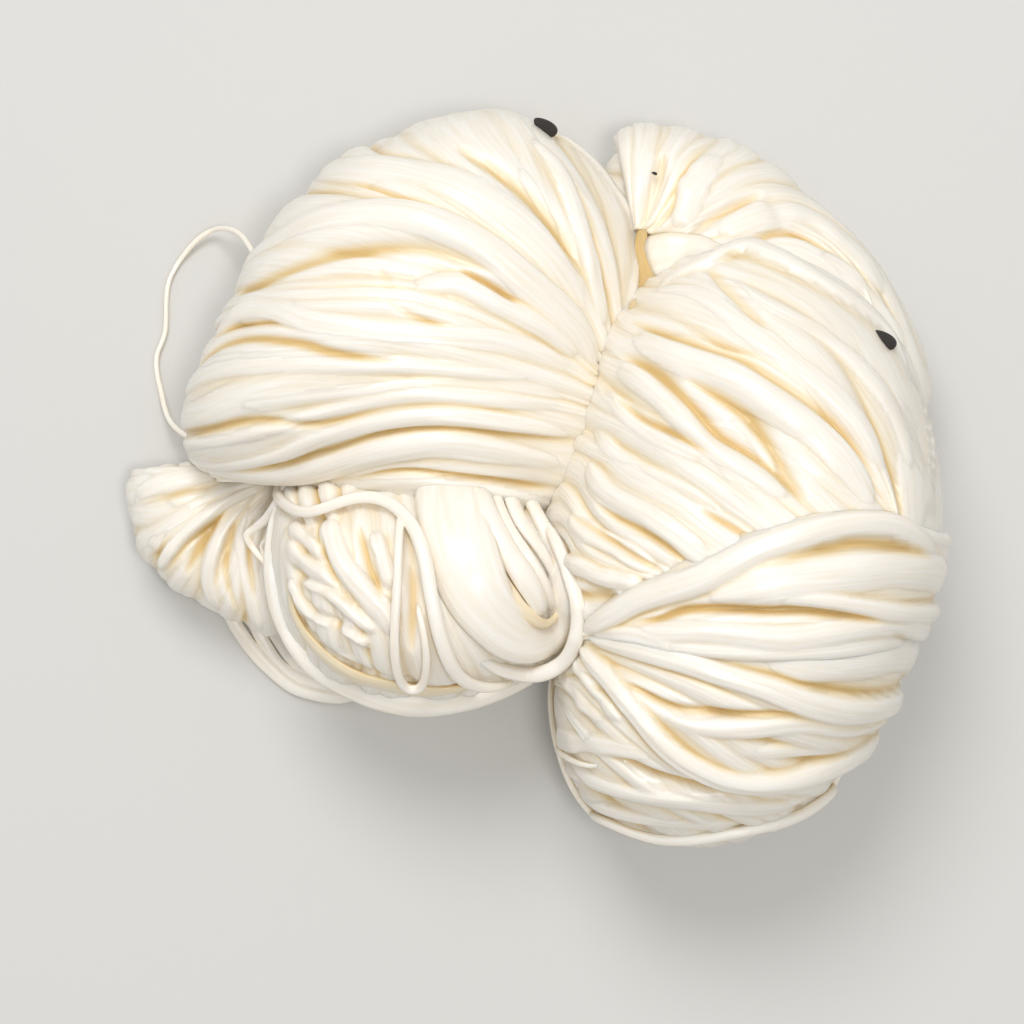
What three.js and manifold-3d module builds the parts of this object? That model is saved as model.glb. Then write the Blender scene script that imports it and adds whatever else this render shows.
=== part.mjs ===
// Braided string cheese: one skein of soft pulled strings, twisted, folded and tucked into itself.
// It lies on z = 0 with its long side along X. Swollen lobes and a loose tail make the skein.
// Rows of strings run over each lobe, dive at its rim and turn under it, and others wind across.
import * as THREE from 'three';
import { mergeVertices } from 'three/addons/utils/BufferGeometryUtils.js';
import Module from 'manifold-3d';

const wasm = await Module();
wasm.setup();

// Driving sizes, in millimetres and degrees.
const CROWN_FULLNESS = 2.3; // 2 is an ellipse, more is squarer: the swollen upper side of a lobe
const BASE_FULLNESS = 3.0; // the same for the underside, sagged on what it lies on
const RIM_RUN = 0.8; // length of a lobe's lower flank over the sum of its radius and its drop
const CORE_INSET = 0.9; // how far a lobe's smooth core lies under the middle of its strings
const CORE_SEGMENTS = [16, 8]; // round a core, and from its crown to its base
const STRING_STEP = 6.9; // length of string between two of its rings
const STRING_SIDES = 6;
const STRING_FLATNESS = 0.55; // thickness of a single string over its width
const END_BLUNTNESS = 8; // how late a string draws in to its end
const ROW_DEPTH = 2.4; // how far a row of strings reaches down into its lobe
const ROW_SHARES = [0, 0.3, 0.7]; // places across one string of a row, from its right groove
const ROW_LIFTS = [-0.8, 0.7, 0.7]; // how high the string stands there
const ROW_SQUEEZE = 0.35; // share of the lift left where a row starts, pressed together
const UNEVENNESS = { width: 0.4, lift: 0.35 }; // share of a string's width, and millimetres
const SEED = { length: 3.0, width: 1.6, lift: 0.6 };
const SHUFFLE = 7; // start of the random draws

// A lobe: its middle in plan, its radii every 30 degrees from +X, the height of its rim,
// the rise of its crown above the rim, and its drop below the rim.
const LOBES = {
  fan: {
    at: [-14.1, 16.5], rim: 14, rise: 23, drop: 16,
    radii: [27, 29, 28, 22.6, 19.6, 18.4, 21, 27, 22, 23, 27, 28],
  },
  main: {
    at: [25.5, -6.6], rim: 17, rise: 27, drop: 19,
    radii: [20, 22.5, 28.2, 34, 30.5, 24.5, 24.5, 26.5, 35, 32.6, 25, 20.4],
  },
  knot: {
    at: [-11.6, -12.6], rim: 15, rise: 21, drop: 17,
    radii: [19, 18, 15.5, 14, 17, 19, 16.4, 14.6, 13, 12.4, 13.6, 16.6],
  },
  back: {
    at: [21, 22], rim: 11, rise: 14, drop: 13,
    radii: [20.2, 15.5, 14.8, 16.8, 20.4, 17, 14, 14, 14, 16, 24, 27.4],
  },
  tail: {
    at: [-36.0, -3.6], rim: 7, rise: 7, drop: 9,
    radii: [14, 12, 7, 6, 8, 10, 9, 9.2, 9.5, 11, 15.4, 15],
  },
};

// A row of strings side by side on one lobe, spread between guides from its right to its left.
// A guide leaves a place on a heading and bends steadily: start x, start y, heading, then the
// length and the turn of each of its bends.
const ROWS = [
  {
    lobe: 'fan', strings: 15, lift: 0,
    guides: [
      [11.4, 11.4, 60, 18, 30, 24, 60],
      [9.6, 12.8, 95, 18, 16, 26, 34],
      [8.6, 12.8, 115, 22, 25, 30, 34],
      [7.9, 12.2, 124, 24, 30, 38, 54],
      [7.5, 11.0, 136, 26, 40, 34, 24],
      [7.2, 8.8, 160, 26, 16, 34, 24],
      [6.3, 4.4, 164, 24, 34, 36, -30],
      [4.6, -4.6, 176, 24, -5, 34, -8],
    ],
  },
  {
    lobe: 'main', strings: 12, lift: 0,
    guides: [
      [4.4, -13.0, -28, 7, 20, 7, 5, 7, 5],
      [4.2, -8.4, -50, 6, 34, 7, 10, 7, 10],
      [4.6, -3.2, -66, 7, 40, 8, 5, 8, 5],
      [5.0, 2.0, -64, 7, 36, 10, -1, 10, -1],
      [6.2, 6.6, -40, 9, 8, 11, -2, 11, -2],
      [8.0, 10.4, -30, 10, -2, 13, -6, 13, -6],
      [10.1, 15.2, -22, 12, -8, 17, -15, 17, -15],
      [12.4, 20.6, -8, 12, -32, 16, -12, 20, -34],
      [13.2, 23.0, 2, 12, -30, 16, -34, 22, -28],
      [13.6, 25.0, 24, 13, -36, 18, -40, 32, -40],
    ],
  },
  {
    lobe: 'main', strings: 9, lift: 0,
    guides: [
      [-0.6, -24.6, -88, 17, 40, 42, 80],
      [1.5, -23.8, -70, 14, 30, 38, 60],
      [3.3, -22.4, -52, 14, 14, 38, 56],
      [4.8, -20.6, -36, 14, 0, 38, 44],
      [5.8, -18.8, -22, 16, -8, 36, 26],
      [6.6, -16.6, -11, 15, -8, 36, 14],
      [6.6, -15.8, -12, 17, 14, 24, 16],
    ],
  },
  {
    lobe: 'back', strings: 8, lift: 0,
    guides: [
      [17.0, 21.0, 8, 10, -14, 15, -66, 34, -24],
      [15.5, 24.5, 20, 10, -14, 15, -74, 34, -26],
      [15.0, 25.5, 30, 10, -14, 15, -80, 34, -28],
      [14.0, 26.5, 42, 10, -14, 15, -70, 34, -30],
      [13.0, 27.0, 62, 9, -12, 15, -56, 30, -30],
      [12.3, 27.0, 82, 8, -4, 14, -12, 24, -16],
      [11.4, 26.5, 100, 8, 2, 14, 6, 24, 12],
    ],
  },
  {
    lobe: 'knot', strings: 9, lift: 0,
    guides: [
      [-28.4, -1.4, -96, 12, 16, 22, 20],
      [-24.4, -0.6, -82, 14, 22, 22, 20],
      [-15.6, -1.0, -84, 14, 14, 24, 6],
      [-7.0, -1.6, -82, 16, 16, 18, 0],
      [1.6, -2.6, -80, 16, 8, 18, 0],
    ],
  },
  {
    lobe: 'tail', strings: 6, lift: 0.2,
    guides: [
      [-28.0, 2.2, 178, 9, 2, 16, 6],
      [-28.0, 0.8, 198, 9, 6, 16, 10],
      [-28.4, -0.4, 218, 9, 10, 16, 16],
      [-28.4, -1.4, 238, 9, 18, 18, 26],
      [-27.4, -2.6, 256, 9, 16, 18, 30],
    ],
  },
];

// Single strings that lie over the rows, by the places they pass: across the largest lobe, round
// the tucked-in end, and a broad flap where the largest lobe meets the one behind it.
const SINGLES = [
  {
    lobe: 'main', width: 3.0, lift: 1.2,
    way: [[6.3, -16.0], [11.9, -12.8], [18.2, -10.6], [24.6, -7.4], [31.0, -5.4], [38.8, -5.4], [44.0, -8.6]],
  },
  {
    lobe: 'main', width: 5.2, lift: 0.7,
    way: [[16.5, -12.8], [23.3, -11.4], [31.0, -10.2], [38.7, -10.0], [45.0, -11.6]],
  },
  {
    lobe: 'main', width: 2.4, lift: 1.0,
    way: [[21.0, -12.6], [29.5, -12.9], [35.6, -13.6], [40.3, -14.2], [44.6, -15.4]],
  },
  {
    lobe: 'main', width: 3.6, lift: 0.6,
    way: [[7.0, -16.4], [14.6, -16.2], [23.3, -16.6], [32.6, -16.2], [39.7, -16.6], [44.0, -19.0]],
  },
  {
    lobe: 'main', width: 4.4, lift: 0.5,
    way: [[21.0, -18.8], [29.5, -19.4], [38.7, -19.6], [43.0, -22.0]],
  },
  {
    lobe: 'main', width: 2.8, lift: 1.0,
    way: [[6.3, -16.9], [16.1, -19.2], [25.5, -22.2], [34.6, -24.5], [41.0, -25.5]],
  },
  {
    lobe: 'main', width: 2.5, lift: 1.3,
    way: [[5.6, -18.2], [8.4, -20.7], [14.6, -28.2], [18.0, -30.6], [22.4, -32.2], [28.6, -32.0],
      [35.0, -29.8]],
  },
  {
    lobe: 'main', width: 1.3, lift: 0.8,
    way: [[0.2, -23.9], [1.3, -31.3], [4.2, -35.3], [8.4, -36.9], [15.1, -38.9], [23.1, -37.9], [29.8, -36.1],
      [36.4, -31.9]],
  },
  {
    lobe: 'knot', width: 7.0, lift: 1.2,
    way: [[-8.8, 0.6], [-8.2, -4.6], [-6.6, -10.0], [-4.6, -14.2], [-1.0, -16.8], [2.4, -16.0], [3.4, -12.4],
      [2.4, -7.0]],
  },
  {
    lobe: 'knot', width: 2.4, lift: 2.0,
    way: [[-6.6, 0.6], [-5.2, -3.4], [-2.3, -8.1], [0.0, -11.6], [1.0, -14.0]],
  },
  {
    lobe: 'knot', width: 1.8, lift: 0.8,
    way: [[2.0, -4.0], [3.6, -8.6], [5.5, -13.6], [4.6, -19.0], [1.4, -20.9], [-3.2, -20.7], [-7.0, -19.4]],
  },
  {
    lobe: 'knot', width: 1.6, lift: 1.6,
    way: [[-26.6, -1.0], [-25.4, -3.8], [-20.1, -3.0], [-15.0, -2.8], [-12.4, -5.6], [-11.2, -11.6],
      [-9.8, -18.4], [-6.4, -21.6], [-1.8, -22.0]],
  },
  {
    lobe: 'knot', width: 3.6, lift: 0.8,
    way: [[-25.4, 0.8], [-27.6, -4.4], [-27.2, -11.0], [-24.8, -17.0], [-20.0, -21.6], [-13.0, -23.8],
      [-6.0, -23.2], [0.0, -20.8]],
  },
  {
    lobe: 'knot', width: 1.2, lift: 1.3,
    way: [[-13.8, -6.6], [-14.2, -15.4], [-13.9, -20.9], [-12.5, -22.4], [-11.1, -21.1], [-10.8, -17.1],
      [-12.1, -12.6]],
  },
  {
    lobe: 'back', width: 5.0, lift: 1.2,
    way: [[12.8, 24.2], [17.4, 24.8], [21.6, 24.4], [26.0, 23.2]],
  },
];

// A string that has come loose from the tail and lies on the ground, back to the lobe beside it.
const LOOSE = {
  width: 1.8, lift: 0.5,
  way: [[-36.0, -9.0], [-35.0, -13.6], [-33.0, -17.6], [-30.0, -21.2], [-26.2, -24.0], [-20.6, -24.6],
    [-15.0, -21.0]],
};

// Seeds that stick to the strings: the lobe, the place, and the bearing of the seed's length.
const SEEDS = [
  { lobe: 'fan', at: [1.6, 38.6], bearing: 160 },
  { lobe: 'main', at: [38.4, 14.8], bearing: 130 },
];

const radians = THREE.MathUtils.degToRad;
const lerp = THREE.MathUtils.lerp;
const Z_AXIS = new THREE.Vector3(0, 0, 1);

// A seeded random number from -1 to 1.
const spread = () => THREE.MathUtils.seededRandom() * 2 - 1;

// The rim's distance from a lobe's middle, on a bearing: a smooth curve through its radii.
function rimRadius(lobe, bearing) {
  const count = lobe.radii.length;
  const place = THREE.MathUtils.euclideanModulo(bearing / (2 * Math.PI), 1) * count;
  const from = Math.floor(place);
  const [a, b, c, d] = [-1, 0, 1, 2].map((step) => lobe.radii[(from + step + count) % count]);
  const t = place - from;
  return b + 0.5 * t * (c - a + t * (2 * a - 5 * b + 4 * c - d + t * (3 * (b - c) + d - a)));
}

// The point of a lobe's surface on a bearing, at a tilt from its crown: 90 degrees is its rim.
// Lift moves it out along the surface's own direction, which comes back with it.
function lobePoint(lobe, bearing, tilt, lift) {
  const upper = tilt <= Math.PI / 2;
  const fullness = upper ? CROWN_FULLNESS : BASE_FULLNESS;
  const reach = rimRadius(lobe, bearing);
  const height = upper ? lobe.rise : -lobe.drop;
  const out = Math.abs(Math.sin(tilt)) ** (2 / fullness);
  const up = Math.abs(Math.cos(tilt)) ** (2 / fullness);
  const point = new THREE.Vector3(Math.cos(bearing), Math.sin(bearing), 0);
  const normal = point.clone().multiplyScalar(out ** (fullness - 1) / reach);
  normal.z = up ** (fullness - 1) / height;
  normal.normalize();
  point.multiplyScalar(out * reach);
  point.z = up * height;
  point.add(new THREE.Vector3(lobe.at[0], lobe.at[1], lobe.rim));
  return { point: point.addScaledVector(normal, lift), normal };
}

// The point of a lobe above a place in plan. A place past the rim is turned under the lobe.
function drape(lobe, [x, y], lift) {
  const dx = x - lobe.at[0];
  const dy = y - lobe.at[1];
  const bearing = Math.atan2(dy, dx);
  const reach = rimRadius(lobe, bearing);
  const out = Math.hypot(dx, dy) / reach;
  if (out < 1) {
    return lobePoint(lobe, bearing, Math.asin(out ** (CROWN_FULLNESS / 2)), lift);
  }
  const flank = RIM_RUN * (reach + lobe.drop);
  const under = Math.min(1, (out - 1) * reach / flank);
  return lobePoint(lobe, bearing, Math.PI / 2 * (1 + under), lift);
}

// What a string is laid on: a lobe, or the ground.
const over = (lobe) => (place, lift) => drape(lobe, place, lift);
const ground = ([x, y], lift) => ({ point: new THREE.Vector3(x, y, lift), normal: Z_AXIS });

// Places along a guide, about one a millimetre: bends of steady curvature.
function bentWay([startX, startY, heading, ...bends]) {
  let [x, y, angle] = [startX, startY, radians(heading)];
  const places = [[x, y]];
  for (let bend = 0; bend < bends.length; bend += 2) {
    const steps = Math.ceil(bends[bend]);
    const stride = bends[bend] / steps;
    const turn = radians(bends[bend + 1]) / steps;
    for (let step = 0; step < steps; step += 1) {
      angle += turn / 2;
      x += stride * Math.cos(angle);
      y += stride * Math.sin(angle);
      angle += turn / 2;
      places.push([x, y]);
    }
  }
  return places;
}

// Places along a smooth curve through a few given ones, about one a millimetre.
function smoothWay(way) {
  const curve = new THREE.CatmullRomCurve3(way.map(([x, y]) => new THREE.Vector3(x, y, 0)));
  return curve.getSpacedPoints(Math.ceil(curve.getLength())).map((point) => [point.x, point.y]);
}

// A way over a surface: its length, and the place at a share of that length.
function trace(surface, places) {
  const points = places.map((place) => surface(place, 0).point);
  const runs = [0];
  for (let index = 1; index < points.length; index += 1) {
    runs.push(runs[index - 1] + points[index].distanceTo(points[index - 1]));
  }
  const length = runs[runs.length - 1];
  const placeAt = (share) => {
    const run = share * length;
    const after = Math.max(1, runs.findIndex((value) => value >= run));
    const t = (run - runs[after - 1]) / (runs[after] - runs[after - 1]);
    return [0, 1].map((axis) => lerp(places[after - 1][axis], places[after][axis], t));
  };
  return { length, placeAt };
}

// How much of a string is left at a share of its length: all of it, but for its two ends.
function fullnessAt(share) {
  return Math.sqrt(Math.max(0, 1 - Math.abs(2 * share - 1) ** END_BLUNTNESS));
}

// The guide that lies at a share, 0 to 1, of the way through a row's guides.
function between(guides, share) {
  const place = share * (guides.length - 1);
  const from = Math.min(guides.length - 2, Math.floor(place));
  return guides[from].map((value, index) => lerp(value, guides[from + 1][index], place - from));
}

// A primitive with each of its vertices moved to where place() says.
function reshape(geometry, place) {
  const { position } = geometry.attributes;
  const vertex = new THREE.Vector3();
  for (let index = 0; index < position.count; index += 1) {
    const moved = place(vertex.fromBufferAttribute(position, index));
    position.setXYZ(index, moved.x, moved.y, moved.z);
  }
  return geometry;
}

// The smooth body of a lobe, under its strings.
function core(lobe) {
  return reshape(new THREE.SphereGeometry(1, ...CORE_SEGMENTS), (vertex) => {
    const bearing = Math.atan2(-vertex.z, vertex.x);
    const tilt = Math.acos(THREE.MathUtils.clamp(vertex.y, -1, 1));
    return lobePoint(lobe, bearing, tilt, -CORE_INSET).point;
  });
}

// A row of strings as one closed blanket, ridged on top: a box whose length runs along the
// strings, whose width crosses them and whose underside is sunk in the lobe.
function row({ lobe: lobeName, strings, lift, guides }) {
  const lobe = LOBES[lobeName];
  const widths = Array.from({ length: strings }, () => 1 + UNEVENNESS.width * spread());
  const total = widths.reduce((sum, width) => sum + width, 0);
  const edges = widths.map((_, index) => (
    widths.slice(0, index).reduce((sum, width) => sum + width, 0) / total
  ));
  edges.push(1);
  const heights = widths.map(() => lift + UNEVENNESS.lift * spread());
  const count = strings * ROW_SHARES.length;
  const lines = Array.from({ length: count + 1 }, (_, index) => {
    const string = Math.min(strings - 1, Math.floor(index / ROW_SHARES.length));
    const share = ROW_SHARES[index % ROW_SHARES.length];
    const across = index === count ? 1 : lerp(edges[string], edges[string + 1], share);
    const isGroove = index % ROW_SHARES.length === 0;
    return {
      ...trace(over(lobe), bentWay(between(guides, across))),
      lift: ROW_LIFTS[index % ROW_SHARES.length] + (isGroove ? lift : heights[string]),
    };
  });
  const length = Math.max(...lines.map((line) => line.length));
  const blanket = new THREE.BoxGeometry(1, 1, 1, Math.round(length / STRING_STEP), count, 1);
  return reshape(blanket, (vertex) => {
    const along = vertex.x + 0.5;
    const line = lines[Math.round((vertex.y + 0.5) * count)];
    const squeeze = Math.min(1, ROW_SQUEEZE + along * 3);
    const top = lerp(-ROW_DEPTH / 2, line.lift * squeeze, fullnessAt(along));
    return drape(lobe, line.placeAt(along), vertex.z > 0 ? top : -ROW_DEPTH).point;
  });
}

// A flat string laid on a surface along a way in plan, its ends drawn in.
function string(surface, places, width, lift) {
  const { length, placeAt } = trace(surface, places);
  const rings = Math.max(5, Math.round(length / STRING_STEP));
  const pointAt = (share) => surface(placeAt(THREE.MathUtils.clamp(share, 0, 1)), lift).point;
  const reach = 0.5 / rings;
  return reshape(new THREE.SphereGeometry(1, STRING_SIDES, rings), (vertex) => {
    const along = Math.acos(THREE.MathUtils.clamp(vertex.y, -1, 1)) / Math.PI;
    const turn = Math.atan2(-vertex.z, vertex.x);
    const { point, normal } = surface(placeAt(along), lift);
    const tangent = pointAt(along + reach).sub(pointAt(along - reach));
    const side = new THREE.Vector3().crossVectors(tangent, normal).normalize();
    const half = 0.5 * width * (Math.hypot(vertex.x, vertex.z) < 1e-6 ? 0 : fullnessAt(along));
    return point
      .addScaledVector(side, half * Math.cos(turn))
      .addScaledVector(normal, half * STRING_FLATNESS * Math.sin(turn));
  });
}

function seed({ lobe, at, bearing }) {
  const { point, normal } = drape(LOBES[lobe], at, SEED.lift);
  const grain = new THREE.SphereGeometry(0.5, 6, 5);
  grain.scale(SEED.width, SEED.length, SEED.width);
  grain.rotateZ(radians(bearing - 90));
  grain.applyQuaternion(new THREE.Quaternion().setFromUnitVectors(Z_AXIS, normal));
  return grain.translate(point.x, point.y, point.z);
}

// A closed geometry as a solid, and a solid as a geometry.
function solid(geometry) {
  const bare = geometry.clone();
  bare.deleteAttribute('normal');
  bare.deleteAttribute('uv');
  const merged = mergeVertices(bare);
  return new wasm.Manifold(new wasm.Mesh({
    numProp: 3,
    vertProperties: new Float32Array(merged.attributes.position.array),
    triVerts: new Uint32Array(merged.index.array),
  }));
}

function geometryOf(manifold) {
  const mesh = manifold.getMesh();
  const geometry = new THREE.BufferGeometry();
  geometry.setAttribute('position', new THREE.BufferAttribute(mesh.vertProperties, 3));
  geometry.setIndex(new THREE.BufferAttribute(mesh.triVerts, 1));
  return geometry;
}

// Everything fused, cut flat where it lies, with the middle of its outline over the origin.
function skein() {
  THREE.MathUtils.seededRandom(SHUFFLE);
  const pieces = [
    ...Object.values(LOBES).map(core),
    ...ROWS.map(row),
    ...SINGLES.map(({ lobe, width, lift, way }) => string(over(LOBES[lobe]), smoothWay(way), width, lift)),
    string(ground, smoothWay(LOOSE.way), LOOSE.width, LOOSE.lift),
    ...SEEDS.map(seed),
  ];
  const below = solid(new THREE.BoxGeometry(200, 200, 50).translate(0, 0, -25));
  const fused = pieces.map(solid).reduce((whole, piece) => whole.add(piece)).subtract(below);
  // Only the outer skin is kept: what the strings close in between them is solid.
  const outer = fused.decompose().reduce((most, shell) => (shell.volume() > most.volume() ? shell : most));
  const geometry = geometryOf(outer);
  geometry.computeBoundingBox();
  const middle = geometry.boundingBox.getCenter(new THREE.Vector3());
  return geometry.translate(-middle.x, -middle.y, 0);
}

const cheese = new THREE.Mesh(
  skein(),
  new THREE.MeshStandardMaterial({ color: 0xf6ecd2, roughness: 0.35, metalness: 0 }),
);
cheese.name = 'cheese_skein';

const part = new THREE.Group();
part.add(cheese);

export default part;
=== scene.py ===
"""Braided string cheese: the looks of a skein of soft pulled strings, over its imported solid.

The layout is in millimetres, in the skein's own plan, and every mesh is made from it in metres.
"""

import math

import bmesh
import bpy
import numpy as np
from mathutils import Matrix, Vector


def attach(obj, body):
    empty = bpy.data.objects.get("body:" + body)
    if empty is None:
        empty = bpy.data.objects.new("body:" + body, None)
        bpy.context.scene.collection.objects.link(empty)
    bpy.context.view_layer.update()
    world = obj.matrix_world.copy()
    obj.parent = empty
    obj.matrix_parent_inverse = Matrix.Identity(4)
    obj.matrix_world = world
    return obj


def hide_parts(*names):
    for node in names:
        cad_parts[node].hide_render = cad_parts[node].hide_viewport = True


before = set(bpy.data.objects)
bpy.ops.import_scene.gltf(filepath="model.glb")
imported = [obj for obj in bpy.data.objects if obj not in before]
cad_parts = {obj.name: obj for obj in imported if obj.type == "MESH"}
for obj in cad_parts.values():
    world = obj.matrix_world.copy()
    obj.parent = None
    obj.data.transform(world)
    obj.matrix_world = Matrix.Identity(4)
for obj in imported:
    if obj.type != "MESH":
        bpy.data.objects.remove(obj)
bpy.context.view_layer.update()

NODE = "cheese_skein"
MM = 0.001
MIDDLE = np.array([0.240, 0.339, 0.0])  # of the skein's outline, in its own plan
SHUFFLE = 11

# Lobes, as in the solid: middle in plan, radii every 30 degrees from +X, height of the rim,
# rise of the crown above it and drop of the base below it.
CROWN_FULLNESS = 2.3
BASE_FULLNESS = 3.0
RIM_RUN = 0.8
LOBES = {
    "fan": dict(at=(-14.1, 16.5), rim=14, rise=23, drop=16,
                radii=(27, 29, 28, 22.6, 19.6, 18.4, 21, 27, 22, 23, 27, 28)),
    "main": dict(at=(25.5, -6.6), rim=17, rise=27, drop=19,
                 radii=(20, 22.5, 28.2, 34, 30.5, 24.5, 24.5, 26.5, 35, 32.6, 25, 20.4)),
    "knot": dict(at=(-11.6, -12.6), rim=15, rise=21, drop=17,
                 radii=(19, 18, 15.5, 14, 17, 19, 16.4, 14.6, 13, 12.4, 13.6, 16.6)),
    "back": dict(at=(21, 22), rim=11, rise=14, drop=13,
                 radii=(20.2, 15.5, 14.8, 16.8, 20.4, 17, 14, 14, 14, 16, 24, 27.4)),
    "tail": dict(at=(-36.0, -3.6), rim=7, rise=7, drop=9,
                 radii=(14, 12, 7, 6, 8, 10, 9, 9.2, 9.5, 11, 15.4, 15)),
}

# Rows of strings, as in the solid. A guide is start x, start y, heading, then the length and
# the turn of each of its bends. Ribbons are broad strings, as width, lift and way, that
# stand out of their row. Furrows are deep creases, as width, depth and way.
FAN = dict(
    lobe="fan", bundles=8, over=7, hangs=True,
    guides=(
        (11.4, 11.4, 60, 18, 30, 24, 60),
        (9.6, 12.8, 95, 18, 16, 26, 34),
        (8.6, 12.8, 115, 22, 25, 30, 34),
        (7.9, 12.2, 124, 24, 30, 38, 54),
        (7.5, 11, 136, 26, 40, 34, 24),
        (7.2, 8.8, 160, 26, 16, 34, 24),
        (6.3, 4.4, 164, 24, 34, 36, -30),
        (4.6, -4.6, 176, 24, -5, 34, -8),
    ),
    ribbons=(
        (5, 0.8, ((-23, 34.6), (-14.1, 33.6), (-7.4, 31.7), (-0.7, 27.3), (3.9, 22.6), (7.3, 17.6))),
        (4.2, 1.1, ((-31.4, 24), (-24.6, 27.4), (-17.9, 28.6), (-11.9, 28), (-5.8, 25.5), (-0.7, 21.6),
            (5, 16.5), (7.7, 12.3))),
        (2.8, 0.9, ((-13, 20.6), (-7.4, 21), (-2.9, 18.7), (1.7, 16.4), (5.6, 13.6))),
        (3.4, 0.8, ((-35, 15.6), (-31.6, 18.6), (-27.8, 18.8), (-22.4, 16.9), (-15.7, 15.8), (-9, 15.4),
            (-2, 14.6), (5.6, 11.6))),
        (2.6, 0.6, ((-39, 10), (-33.7, 12), (-26.8, 12.4), (-20.1, 12.3), (-13.4, 12.3), (-6.4, 11.8),
            (1.3, 11.2), (6.3, 10.2))),
        (2.2, 0.6, ((-38.1, 7.6), (-29.2, 8.4), (-20.1, 9.2), (-11.9, 10.2), (-3.1, 10.2), (5.7, 9))),
        (2, 0.8, ((-40.9, 4.3), (-35.3, 4.1), (-29.3, 5.2), (-22.4, 7.2), (-13.5, 9), (-5.3, 8.8),
            (5.2, 7.7))),
        (2, 1, ((-38.6, 3.6), (-35.3, 2), (-31.9, 1.8), (-26.9, 2.8), (-22.4, 4.6), (-15.7, 6.4),
            (-9, 6.9), (-0.9, 6), (5.5, 4.8))),
        (3.6, 0.9, ((-37.5, 2.6), (-32.6, 0.9), (-26.9, 0.4), (-22.4, 1.2), (-15.7, 3), (-9, 3.8),
            (-0.9, 2.6), (4.8, 1.4))),
        (2.6, 0.6, ((-24, -0.6), (-18, -0.4), (-12, -0.4), (-6, -1), (-0.3, -2.2), (4, -3.4))),
        (2.6, 0.7, ((2.3, 39.1), (5.2, 37.3), (7.3, 35.1), (9.2, 32.3), (11.2, 29), (11.7, 25),
            (10.6, 18.3), (9, 14))),
        (1.8, 0.4, ((2.1, 35.5), (5, 32.1), (7.3, 28.5), (9, 24.3), (9.7, 19.5))),
        (2.4, 0.9, ((-0.7, 38), (2.8, 33.9), (5, 29), (6.8, 22.7), (8.4, 15.9))),
        (1.5, 0.3, ((0.6, 28.1), (3, 25.4), (5, 22.2), (6.8, 18.6))),
    ),
    furrows=(
        (2, 1.2, ((-32.4, 20.4), (-28, 22.2), (-23.5, 23.8), (-17.9, 25), (-11.9, 25), (-6.6, 23.4),
            (-3.1, 21.9))),
        (6, 0.7, ((-32, 18.4), (-26, 20.6), (-20, 22), (-14, 22.6), (-8, 22), (-3.6, 20.4))),
        (0.7, 0.3, ((-16.6, 23), (-15.2, 21.6), (-14.9, 19.6))),
        (0.8, 0.5, ((-14.8, 19.4), (-13.5, 18.1), (-11.1, 17.1), (-8.6, 16.3))),
        (0.9, 1.1, ((-7.4, 22.6), (-4.6, 21.2), (-1, 18.9))),
        (1.3, 1.1, ((-36.2, 12.9), (-33.7, 14.6), (-30.2, 15.2), (-24.6, 14.6), (-20.1, 13.4),
            (-14, 12.6))),
        (2.2, 1.1, ((-8.4, 36), (-4.2, 33.8), (-0.9, 31.4), (1.9, 28.6), (3.7, 25.9), (5.7, 21.6))),
        (1, 0.8, ((-39, 5.2), (-34.9, 5.6), (-29.3, 6.4), (-22.4, 6.2), (-15.7, 7.6))),
        (0.9, 0.8, ((-19, 0.3), (-13.5, 1), (-7.5, 0.4), (-2, -0.4), (2.6, -1))),
    ),
)
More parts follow.
